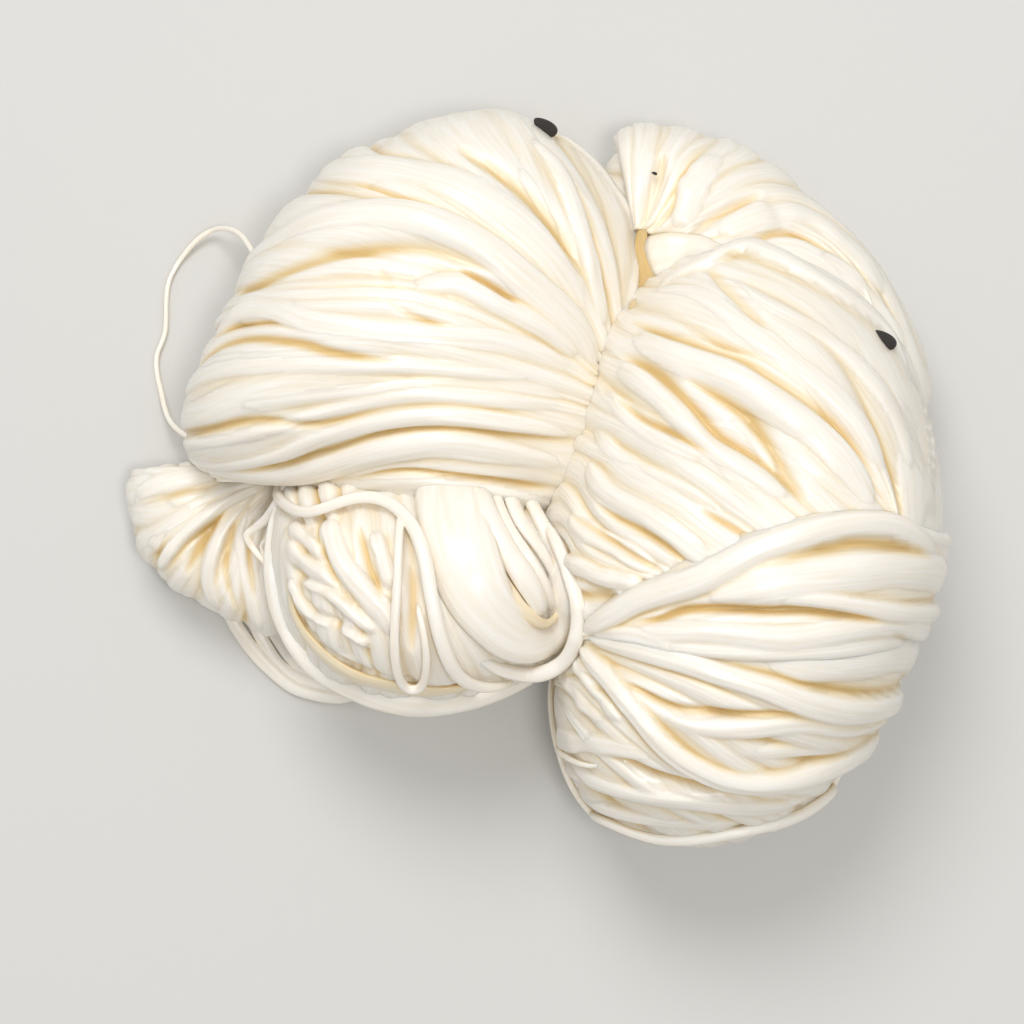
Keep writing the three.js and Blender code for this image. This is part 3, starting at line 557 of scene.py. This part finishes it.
def fullness_at(share, bluntness=END_BLUNTNESS):
    """How much of a string is left at a share of its length: all of it, but for its two ends."""
    return np.sqrt(np.clip(1 - np.abs(2 * share - 1) ** bluntness, 0, 1))


def ripple(rng, share, slowest=SLOWEST_RIPPLE, waves=4):
    """A smooth random course from about -1 to 1 along an array of shares."""
    total = np.zeros_like(share)
    for wave in range(waves):
        pace = slowest * (FASTER ** wave) * rng.uniform(0.8, 1.25)
        total += np.sin(2 * np.pi * (pace * share + rng.random())) / FAINTER ** wave
    return total / 1.9


# ---- meshes

def mesh_object(name, parts, material):
    """One smooth closed mesh from parts of (points, faces, uvs, depth): uvs in millimetres of
    string across and along, and depth, the painted shade, from 0 in a crease to 1 on a crown."""
    shift, points, faces, uvs, painted_shades = 0, [], [], [], []
    for part_points, part_faces, part_uvs, part_painted_shade in parts:
        points.append((part_points - MIDDLE) * MM)
        faces.append(part_faces + shift)
        uvs.append(part_uvs)
        painted_shades.append(part_painted_shade)
        shift += len(part_points)
    points, faces = np.concatenate(points), np.concatenate(faces)
    uvs, painted_shades = np.concatenate(uvs), np.concatenate(painted_shades)
    points[:, 2] = np.maximum(points[:, 2], 0)
    mesh = bpy.data.meshes.new(name)
    mesh.from_pydata(points.tolist(), [], faces.tolist())
    layer = mesh.uv_layers.new(name="string")
    layer.data.foreach_set("uv", uvs[faces.ravel()].astype(np.float32).ravel())
    # The depth attribute carries the painted shade, which the cheese material turns into colour.
    depth = mesh.attributes.new("depth", "FLOAT", "POINT")
    depth.data.foreach_set("value", painted_shades.astype(np.float32))
    shell = bmesh.new()
    shell.from_mesh(mesh)
    bmesh.ops.remove_doubles(shell, verts=shell.verts, dist=0.001 * MM)
    bmesh.ops.recalc_face_normals(shell, faces=shell.faces)
    shell.to_mesh(mesh)
    shell.free()
    mesh.shade_smooth()
    mesh.materials.append(material)
    piece = bpy.data.objects.new(name, mesh)
    bpy.context.scene.collection.objects.link(piece)
    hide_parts(NODE)
    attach(piece, "root")
    return piece


def grid_faces(rows, columns):
    """Quads of a grid of points, rows by columns."""
    row = np.arange(rows - 1)[:, None]
    column = np.arange(columns - 1)[None, :]
    corner = row * columns + column
    return np.stack([corner, corner + 1, corner + columns + 1, corner + columns], -1).reshape(-1, 4)


def lay(lobes, places, lift):
    """Points and outward directions over places in plan: on the highest of some lobes, or on the
    ground where there are none."""
    if not lobes:
        return np.column_stack([places, lift]), np.tile([0.0, 0.0, 1.0], (len(places), 1))
    if len(lobes) == 1:
        return drape(lobes[0], places, lift)
    points, normals = (np.stack(parts) for parts in zip(*(drape(lobe, places, 0 * lift) for lobe in lobes)))
    top = points[..., 2].argmax(0)[None, :, None]
    points, normals = (blurred(np.take_along_axis(part, top, 0)[0], STEP_EASE) for part in (points, normals))
    normals[:, 2] += 1
    normals /= np.linalg.norm(normals, axis=1, keepdims=True)
    return points + normals * lift[:, None], normals


def tube(lobes, way, width, lift, flatness, upturn, shade, bluntness, rng, sink=1.6, lean=0.22):
    """A flat string laid over lobes along a way in plan, its ends drawn in and pressed down."""
    places = smooth_way(way)
    _, length = even_places(lobes, places, 8)
    rings = max(10, int(length / ALONG_STEP))
    places, _ = even_places(lobes, places, rings)
    share = np.linspace(0, 1, rings)
    full = fullness_at(share, bluntness)
    wide, lift = (np.interp(share, np.linspace(0, 1, len(given)), given)
                  for given in (np.resize(measure, max(2, np.size(measure))) for measure in (width, lift)))
    ground = 1 if lobes else 0
    lifts = lift + ground * WANDER * wide.mean() * ripple(rng, share) - ground * sink * (1 - full)
    centre, normal = lay(lobes, places, lifts)
    tangent = np.gradient(centre, axis=0)
    tangent /= np.linalg.norm(tangent, axis=1, keepdims=True)
    side = np.cross(tangent, normal + upturn * np.array([0.0, 0.0, 1.0]))
    side /= np.linalg.norm(side, axis=1, keepdims=True)
    up = np.cross(side, tangent)
    tilt = (ground * lean * ripple(rng, share))[:, None]
    side, up = side * np.cos(tilt) + up * np.sin(tilt), up * np.cos(tilt) - side * np.sin(tilt)
    half = 0.5 * wide * full * (1 + UNEVENNESS * ripple(rng, share, 1.0))
    thick = half * flatness * (1 + UNEVENNESS * ripple(rng, share, 1.0))
    turn = np.linspace(-np.pi / 2, 3 * np.pi / 2, RING_SIDES + 1)
    fibre = np.round(2 + wide.mean()) * turn[None, :] + 2.5 * ripple(rng, share, 0.5)[:, None]
    ridge = 1 + 0.025 * np.cos(fibre) + 0.02 * np.cos(2 * fibre + 1)
    square = np.sign(np.cos(turn)) * np.abs(np.cos(turn)) ** 0.85
    across = half[:, None] * square * ridge
    above = thick[:, None] * np.sin(turn) * ridge
    points = centre[:, None] + side[:, None] * across[..., None] + up[:, None] * above[..., None]
    uvs = np.stack(np.broadcast_arrays(turn * wide.mean() / 4, (share * length)[:, None]), -1)
    # Painted shade: creamy on the string's top, golden-dark underneath, and darker all over for a low shade.
    depth = shade * np.broadcast_to(np.clip(0.62 + 0.55 * np.sin(turn), 0, 1), (rings, RING_SIDES + 1))
    return (points.reshape(-1, 3), grid_faces(rings, RING_SIDES + 1),
            uvs.reshape(-1, 2) + rng.uniform(0, 50, 2), depth.reshape(-1))


def back_of(x, fullness=2.4, edge=0.6):
    """Height, 0 to 1, of a soft string's back at x, -1 to 1, across it, and far below beyond."""
    inside = np.clip(1 - np.abs(x) ** fullness, 0, 1) ** edge
    return np.where(np.abs(x) < 1, inside, -4 * (np.abs(x) - 1))


def lie_along(points, lobe, way):
    """Of points near a lobe: the distance to a way's right, and the share of its length."""
    places, length = even_places([lobe], smooth_way(way), 120)
    centre, normal = drape(lobe, places, np.zeros(len(places)))
    tangent = np.gradient(centre, axis=0)
    tangent /= np.linalg.norm(tangent, axis=1, keepdims=True)
    side = np.cross(tangent, normal)
    side /= np.linalg.norm(side, axis=1, keepdims=True)
    flat = points.reshape(-1, 3)
    gap = (flat ** 2).sum(1)[:, None] - 2 * flat @ centre.T + (centre ** 2).sum(1)
    nearest = gap.argmin(1)
    apart = flat - centre[nearest]
    ahead = (apart * tangent[nearest]).sum(1)
    lateral = (apart * side[nearest]).sum(1)
    share = nearest / (len(centre) - 1) + ahead / length
    return lateral.reshape(points.shape[:-1]), share.reshape(points.shape[:-1])


class Relief:
    """The heights of many strings pressed together: the highest wins, with soft creases."""

    def __init__(self, shape):
        self.total = np.full(shape, math.exp(DEEPEST / CREASE))
        self.top = np.full(shape, DEEPEST)
        self.lateral = np.zeros(shape)  # how far across its own string each point is
        self.count = 0

    def add(self, height, lateral):
        self.total += np.exp(np.maximum(height, LOW) / CREASE)
        on_top = height > self.top
        self.top = np.where(on_top, height, self.top)
        self.lateral = np.where(on_top, lateral + self.count * STRING_APART, self.lateral)
        self.count += 1

    def sink(self, depth):
        self.total *= np.exp(-depth / CREASE)

    def heights(self):
        return CREASE * np.log(self.total)


def blurred(field, reach):
    """The mean of a field over a reach of columns to either side."""
    wide = np.concatenate([np.repeat(field[:1], reach, 0), field, np.repeat(field[-1:], reach, 0)])
    total = np.cumsum(np.concatenate([np.zeros((1, field.shape[1])), wide]), axis=0)
    return (total[2 * reach + 1:] - total[:-2 * reach - 1]) / (2 * reach + 1)


def string_heights(across, along, width_at, bundles, over, rng):
    """The relief of a row's bundles, side by side, with the strings in each, and of broad strings
    that lie over them at a slant."""
    relief = Relief(across.shape)
    run = along[0]
    bulks = rng.uniform(*BUNDLE_SIZES, bundles)
    edges = np.concatenate([[0], np.cumsum(bulks)]) / bulks.sum()
    for low, high in zip(edges[:-1], edges[1:]):
        middle = (low + high) / 2 + WANDER * (high - low) * ripple(rng, run)
        half = (high - low) / 2 * BUNDLE_OVERLAP * (1 + WANDER * ripple(rng, run))
        size = np.maximum(half * width_at, THINNEST)
        x = (across - middle) * width_at / size
        swell = np.clip(BUNDLE_SWELL * size, THINNEST, MOST_SWELL)
        bulk = 0.3 * ripple(rng, run) + swell * (back_of(x, 2.2, 0.7) - 0.75)
        strings = int(rng.integers(*STRINGS_A_BUNDLE))
        shares = np.cumsum(rng.uniform(*STRING_SIZES, strings + 1))
        shares = 2 * (shares - shares[0]) / (shares[-1] - shares[0]) - 1
        for left, right in zip(shares[:-1], shares[1:]):
            own = middle + half * ((left + right) / 2 + 0.1 * ripple(rng, run))
            own_half = half * (right - left) / 2 * STRING_OVERLAP * (1 + 0.15 * ripple(rng, run))
            add_string(relief, across, own, own_half, width_at, bulk, 0.3, run, rng)
    for _ in range(over):
        start, length = rng.uniform(*OVER_STARTS), rng.uniform(*OVER_LENGTHS)
        share = (run - start) / length
        full = fullness_at(np.clip(share, 0, 1), OVER_BLUNTNESS)
        middle = rng.uniform(0.04, 0.96) + (share - 0.5) * rng.uniform(-1, 1) / bundles
        half = rng.uniform(*OVER_WIDTHS) / bundles * np.sqrt(full)
        level = OVER_LIFT + 0.15 * ripple(rng, run) - END_DROP * (1 - full)
        add_string(relief, across, middle, half, width_at, level, 0.42, run, rng)
    return relief


def add_string(relief, across, middle, half, width_at, level, roundness, run, rng):
    """One string of a row, its middle and half width as shares of the row's width."""
    size = np.maximum(half * width_at, THINNEST)
    crown = np.clip(roundness * size, 0.03, 0.9)
    x = (across - middle) * width_at / size
    lean = 0.14 * ripple(rng, run, 0.4)
    fine = 0.025 * np.cos(rng.uniform(3, 5) * x + 3 * ripple(rng, run, 0.4)) * np.minimum(1, size)
    relief.add(level + crown * (back_of(x) - 0.75) + lean * np.clip(x, -1, 1) * crown + fine, x * size)


def fibres(lateral, along, rng, count=26):
    """Fine ridges that follow each string of a row."""
    total = np.zeros_like(lateral)
    for _ in range(count):
        pace = rng.uniform(0.35, 1.5)
        total += np.cos(2 * np.pi * (pace * lateral + 0.5 * ripple(rng, along, 0.5, 3)) + rng.uniform(0, 6.3))
    return total / math.sqrt(count)


def row_surface(name, row):
    """The strings of a row, pressed together into one closed, ridged sheet."""
    rng = np.random.default_rng(SHUFFLE + 97 * len(name) + row["bundles"])
    lobe, guides = LOBES[row["lobe"]], row["guides"]
    lines = LINES_A_GUIDE * (len(guides) - 1) + 1
    ways = [even_places([lobe], tucked_way(lobe, bent_way(between(guides, share))), STOPS)
            for share in np.linspace(0, 1, lines)]
    coarse = np.array([places for places, _ in ways])
    if row.get("hangs"):
        coarse = hung(lobe, coarse)
    length = max(run for _, run in ways)
    base, _ = drape(lobe, coarse, np.zeros(coarse.shape[:2]))
    spread = np.linalg.norm(np.diff(base, axis=0), axis=2).sum(0)
    columns, rings = int(np.percentile(spread, USUAL_WIDTH) / ACROSS_STEP), int(length / ALONG_STEP)
    across, along = np.meshgrid(np.linspace(0, 1, columns), np.linspace(0, 1, rings), indexing="ij")
    width_at = np.interp(along[0], np.linspace(0, 1, STOPS), spread)
    relief = string_heights(across, along, width_at, row["bundles"], row["over"], rng)
    from_side = np.minimum(across, 1 - across) * width_at
    relief.sink(SIDE_DIP * np.clip(1 - from_side / SIDE_RUN, 0, 1) ** 2)
    row_lift = row.get("lift", 0)
    places = place_on(coarse, across, along)
    surface, _ = drape(lobe, places, np.zeros(across.shape))
    for width, lift, way in row["ribbons"]:
        lateral, share = lie_along(surface, lobe, way)
        inside = np.clip(share, 0, 1)
        full = fullness_at(inside, RIBBON_BLUNTNESS) * (1 + WANDER * ripple(rng, inside, 0.9))
        half = np.maximum(0.5 * width * full, 0.02)
        beyond = np.abs(share - inside) * 40
        crown = np.minimum(RIBBON_ROUNDNESS * half, THICKEST)
        level = lift + WANDER * ripple(rng, inside) - END_DROP * (1 - np.clip(full, 0, 1)) - beyond
        fine = 0.05 * np.cos(4 * lateral / half + 3 * ripple(rng, inside, 0.4))
        relief.add(level + crown * (back_of(lateral / half) - 1) + fine, lateral)
    heights = relief.heights()
    for width, depth, way in row["furrows"]:
        lateral, share = lie_along(surface, lobe, way)
        window = np.clip(1 - np.abs(2 * share - 1) ** 3, 0, 1)
        heights = heights - depth * window * np.exp(-(lateral / (width * (0.35 + 0.65 * window) / 2)) ** 2)
    mean_width = width_at.mean()
    heights = heights + GRAIN_DEPTH * fibres(relief.lateral, along, rng)
    heights = heights - SEAM_DIP * np.clip(1 - along * length / SEAM_RUN, 0, 1) ** 2
    heights = np.clip(heights, DEEPEST, None)
    # Painted shade: golden and darker where a point lies below its near and wide surroundings, in the
    # creases, and darker still close to the seam where the row starts.
    reach = mean_width / columns
    near, wide = (blurred(heights, max(2, int(size / reach))) for size in (NARROW_SIGHT, WIDE_SIGHT))
    depth = np.clip(FLAT_PAINTED_SHADE + NARROW_WEIGHT * (heights - near) + WIDE_WEIGHT * (heights - wide), 0, 1)
    depth = depth * (0.32 + 0.68 * np.clip(along * length / SEAM_SHADE, 0, 1) ** 0.8)
    depth = blurred(blurred(depth, 1).T, 1).T
    end = fullness_at(along, ROW_BLUNTNESS)
    heights = heights * end - ROW_DEPTH * (1 - end)
    top, _ = drape(lobe, places, heights + row_lift * end)
    under = np.linspace(1, 0, UNDER_LINES)
    places_under = place_on(coarse, *np.meshgrid(under, along[0], indexing="ij"))
    bottom, _ = drape(lobe, places_under, np.full(places_under.shape[:2], -ROW_DEPTH))
    points = np.concatenate([top, bottom, top[:1]])
    # The row's underside gets an even painted shade.
    depth = np.concatenate([depth, np.full(bottom.shape[:2], UNDER_SHADE), depth[:1]])
    u = np.concatenate([relief.lateral, 60 + under[:, None] + 0 * along[:1], 80 + 0 * along[:1]])
    v = 0 * u + along[:1] * length
    faces = grid_faces(len(points), rings)
    return points.reshape(-1, 3), faces, np.stack([u, v], -1).reshape(-1, 2), depth.reshape(-1)


def place_on(grid, across, along):
    """Places of a row's grid at shares across it and along it."""
    lines, rings, _ = grid.shape
    a, b = np.clip(across, 0, 1) * (lines - 1), np.clip(along, 0, 1) * (rings - 1)
    i, j = np.minimum(a.astype(int), lines - 2), np.minimum(b.astype(int), rings - 2)
    p, q = (a - i)[..., None], (b - j)[..., None]
    return ((1 - p) * (1 - q) * grid[i, j] + p * (1 - q) * grid[i + 1, j]
            + (1 - p) * q * grid[i, j + 1] + p * q * grid[i + 1, j + 1])


def core_surface(name):
    """The body of a lobe, with strings that run down it from its crown and turn under it."""
    lobe = LOBES[name]
    rng = np.random.default_rng(SHUFFLE + 13 * len(name))
    girth = 2 * math.pi * np.mean(lobe["radii"])
    columns, rings = int(girth / (1.5 * ACROSS_STEP)), int((lobe["rise"] + lobe["drop"]) * BODY_RINGS)
    across, along = np.meshgrid(np.linspace(0, 1, columns + 1), np.linspace(0, 1, rings), indexing="ij")
    relief = Relief(across.shape)
    run = along[0]
    width_at = girth * np.sin(np.pi * np.clip(run, 0.04, 0.96))
    sizes = rng.uniform(*BODY_STRING_SIZES, int(girth / BODY_STRING_APART))
    edges = np.concatenate([[0], np.cumsum(sizes)]) / sizes.sum()
    laid = [((low + high) / 2, BODY_OVERLAP * (high - low), 0.0, BODY_LIFT)
            for low, high in zip(edges[:-1], edges[1:])]
    laid += [(rng.random(), rng.uniform(*SLANTED_HALF_WIDTHS) / girth,
              rng.uniform(-MOST_SLANT, MOST_SLANT) / girth, SLANTED_LIFT)
             for _ in range(int(girth / SLANTED_APART))]
    for middle, half, slant, level in laid:
        middle = middle + slant * (run - 0.5) + 0.8 * ripple(rng, run) / girth
        half = half * (1 + 0.2 * ripple(rng, run))
        level = level + 0.3 * ripple(rng, run)
        for turn in (-1, 0, 1):
            state = rng.bit_generator.state
            add_string(relief, across, middle + turn, half, width_at, level, 0.7, run, rng)
            if turn < 1:
                rng.bit_generator.state = state
    heights = relief.heights() * np.sin(np.pi * along) ** 0.5
    # Painted shade: golden and darker in the creases between the body's strings.
    near = blurred(heights, 4)
    depth = np.clip(0.7 + 1.3 * (heights - near), 0, 1)
    twist = BODY_TWIST * np.sin(np.pi * along)
    covered = COVERED_INSET * np.clip(1.8 - 3 * along, 0, 1)
    points, _ = lobe_points(lobe, 2 * np.pi * across + twist, np.pi * along, heights - CORE_INSET - covered)
    points[-1] = points[0]
    uvs = np.stack([relief.lateral, along * 50], -1).reshape(-1, 2)
    return points.reshape(-1, 3), grid_faces(columns + 1, rings), uvs, depth.reshape(-1)


# ---- materials

def new_material(name):
    material = bpy.data.materials.new(name)
    material.use_nodes = True
    nodes = material.node_tree.nodes
    return material, nodes, material.node_tree.links, nodes["Principled BSDF"]


def set_inputs(node, values):
    for name, value in values.items():
        node.inputs[name].default_value = value


def colour_ramp(nodes, first, last, *between_them):
    """A ramp through colours, each given with its position."""
    ramp = nodes.new("ShaderNodeValToRGB")
    elements = ramp.color_ramp.elements
    for element, (position, colour) in zip(elements, (first, last)):
        element.position = position
        element.color = (*colour, 1)
    for position, colour in between_them:
        elements.new(position).color = (*colour, 1)
    return ramp


def roughen(nodes, links, shader, height, strength, distance):
    bump = nodes.new("ShaderNodeBump")
    set_inputs(bump, {"Strength": strength, "Distance": distance})
    links.new(height, bump.inputs["Height"])
    links.new(bump.outputs["Normal"], shader.inputs["Normal"])


def cheese_material():
    """Golden-dark painted shade in the creases and creamy on the crowns, after the depth attribute, with a
    fine grain along each string.
    """
    material, nodes, links, shader = new_material("cheese")
    shader.subsurface_method = "BURLEY"
    set_inputs(shader, {
        "IOR": 1.42, "Subsurface Weight": 0.5, "Subsurface Radius": (1.0, 0.72, 0.42),
        "Subsurface Scale": 1.2 * MM, "Coat Weight": 0.25, "Coat Roughness": 0.18,
    })
    depth = nodes.new("ShaderNodeAttribute")
    depth.attribute_name = "depth"
    # Painted shade: dark gold at depth 0, in the deepest creases, to cream at 0.72 and above.
    painted_shade_colour = colour_ramp(
        nodes, (0, (0.64, 0.46, 0.2)), (0.72, (0.93, 0.90, 0.84)),
        (0.12, (0.74, 0.55, 0.27)), (0.38, (0.86, 0.76, 0.57)))
    links.new(depth.outputs["Fac"], painted_shade_colour.inputs["Fac"])

    string = nodes.new("ShaderNodeUVMap")
    string.uv_map = "string"
    fibres_across = nodes.new("ShaderNodeMapping")
    set_inputs(fibres_across, {"Scale": (2.6, 0.12, 1)})
    links.new(string.outputs["UV"], fibres_across.inputs["Vector"])
    grain = nodes.new("ShaderNodeTexNoise")
    set_inputs(grain, {"Scale": 1.0, "Detail": 4})
    links.new(fibres_across.outputs["Vector"], grain.inputs["Vector"])

    mottle = nodes.new("ShaderNodeMix")
    mottle.data_type = "RGBA"
    mottle.blend_type = "MULTIPLY"
    mottle.inputs["Factor"].default_value = 1
    shades = colour_ramp(nodes, (0.3, (0.95, 0.92, 0.86)), (0.62, (1, 1, 1)))
    links.new(grain.outputs["Fac"], shades.inputs["Fac"])
    links.new(painted_shade_colour.outputs["Color"], mottle.inputs[6])
    links.new(shades.outputs["Color"], mottle.inputs[7])
    links.new(mottle.outputs[2], shader.inputs["Base Color"])

    gloss = nodes.new("ShaderNodeMapRange")
    set_inputs(gloss, {"To Min": 0.22, "To Max": 0.44})
    links.new(grain.outputs["Fac"], gloss.inputs["Value"])
    links.new(gloss.outputs["Result"], shader.inputs["Roughness"])
    roughen(nodes, links, shader, grain.outputs["Fac"], 0.5, 0.16 * MM)
    return material


def seed_material():
    material, nodes, links, shader = new_material("nigella_seed")
    set_inputs(shader, {"Roughness": 0.5})
    noise = nodes.new("ShaderNodeTexNoise")
    set_inputs(noise, {"Scale": 2600})
    shades = colour_ramp(nodes, (0, (0.006, 0.005, 0.005)), (1, (0.05, 0.04, 0.035)))
    links.new(noise.outputs["Fac"], shades.inputs["Fac"])
    links.new(shades.outputs["Color"], shader.inputs["Base Color"])
    roughen(nodes, links, shader, noise.outputs["Fac"], 0.6, 0.1 * MM)
    return material


# ---- pieces

def lay_single_strings(name, strings, material):
    rng = np.random.default_rng(SHUFFLE)
    mesh_object(name, [
        tube([LOBES[name] for name in s["on"]], s["way"], s["width"], s["lift"], s["flatness"],
             s.get("upturn", 0), s.get("shade", 1), s.get("bluntness", END_BLUNTNESS), rng)
        for s in strings
    ], material)


def lay_seeds(material):
    for index, spot in enumerate(SEEDS):
        lobe = LOBES[spot["lobe"]]
        point, normal = drape(lobe, np.array([spot["at"]]), np.array([spot["lift"]]))
        bearing, tilt = np.meshgrid(np.linspace(0, 2 * np.pi, SEED_SIDES), np.linspace(0, np.pi, SEED_RINGS))
        girth = np.sin(tilt) ** 0.9 * (1 - 0.25 * np.cos(tilt)) * (1 + 0.08 * np.cos(3 * bearing))
        local = np.stack([girth * np.cos(bearing) * spot["width"] / 2,
                          np.cos(tilt) * spot["length"] / 2,
                          girth * np.sin(bearing) * spot["width"] / 2], -1).reshape(-1, 3)
        heading = math.radians(spot["bearing"])
        ahead = np.array([math.cos(heading), math.sin(heading), 0])
        up = normal[0]
        ahead -= up * ahead.dot(up)
        ahead /= np.linalg.norm(ahead)
        side = np.cross(ahead, up)
        points = point[0] + local[:, :1] * side + local[:, 1:2] * ahead + local[:, 2:] * up
        uvs = np.stack([bearing, tilt], -1).reshape(-1, 2)
        mesh_object(f"seed_{index + 1}", [(points, grid_faces(SEED_RINGS, SEED_SIDES), uvs,
                                              np.ones(len(points)))], material)


cheese = cheese_material()
for lobe_name in LOBES:
    mesh_object(f"{lobe_name}_body", [core_surface(lobe_name)], cheese)
for row_name, row_layout in ROWS.items():
    mesh_object(f"{row_name}_strings", [row_surface(row_name, row_layout)], cheese)
lay_single_strings("single_strings", SINGLES, cheese)
lay_seeds(seed_material())


# ---- stage, light and camera

PICTURE_PIXELS = 1024
PIXEL = 0.11 * MM  # of the picture, on the cheese
PLAN_ORIGIN = (528, 480)  # the pixel of the picture where the plan has its origin
VIEW_HEIGHT = 25 * MM  # of the level on the cheese where a pixel has that size
CAMERA_DISTANCE = 0.5


def add_stage():
    bpy.ops.mesh.primitive_plane_add(size=3)
    floor = bpy.context.object
    floor.name = "floor"
    material, _, _, shader = new_material("floor")
    set_inputs(shader, {"Base Color": (0.66, 0.66, 0.645, 1), "Roughness": 0.7})
    floor.data.materials.append(material)
    floor.location.z = -0.0002


def add_lamp(name, place, size, watts, colour):
    lamp = bpy.data.lights.new(name, "AREA")
    lamp.shape = "DISK"
    lamp.size = size
    lamp.energy = watts
    lamp.color = colour
    holder = bpy.data.objects.new(name, lamp)
    holder.location = place
    holder.rotation_euler = (-Vector(place)).to_track_quat("-Z", "Y").to_euler()
    bpy.context.scene.collection.objects.link(holder)


def add_light():
    world = bpy.data.worlds.new("room")
    world.use_nodes = True
    set_inputs(world.node_tree.nodes["Background"], {"Color": (1.0, 0.985, 0.96, 1), "Strength": 0.5})
    bpy.context.scene.world = world
    add_lamp("window", (-0.12, 0.42, 0.78), 0.4, 3.5, (1.0, 0.99, 0.98))
    add_lamp("ceiling", (0.1, -0.05, 0.95), 0.16, 2.2, (1.0, 0.98, 0.96))


def add_camera():
    lens = bpy.data.cameras.new("camera")
    lens.lens = lens.sensor_width * CAMERA_DISTANCE / (PICTURE_PIXELS * PIXEL)
    camera = bpy.data.objects.new("camera", lens)
    centre = PICTURE_PIXELS / 2
    camera.location = ((centre - PLAN_ORIGIN[0]) * PIXEL - MIDDLE[0] * MM,
                       (PLAN_ORIGIN[1] - centre) * PIXEL - MIDDLE[1] * MM,
                       VIEW_HEIGHT + CAMERA_DISTANCE)
    bpy.context.scene.collection.objects.link(camera)
    bpy.context.scene.camera = camera


add_stage()
add_light()
add_camera()
bpy.context.scene.view_settings.view_transform = "Standard"
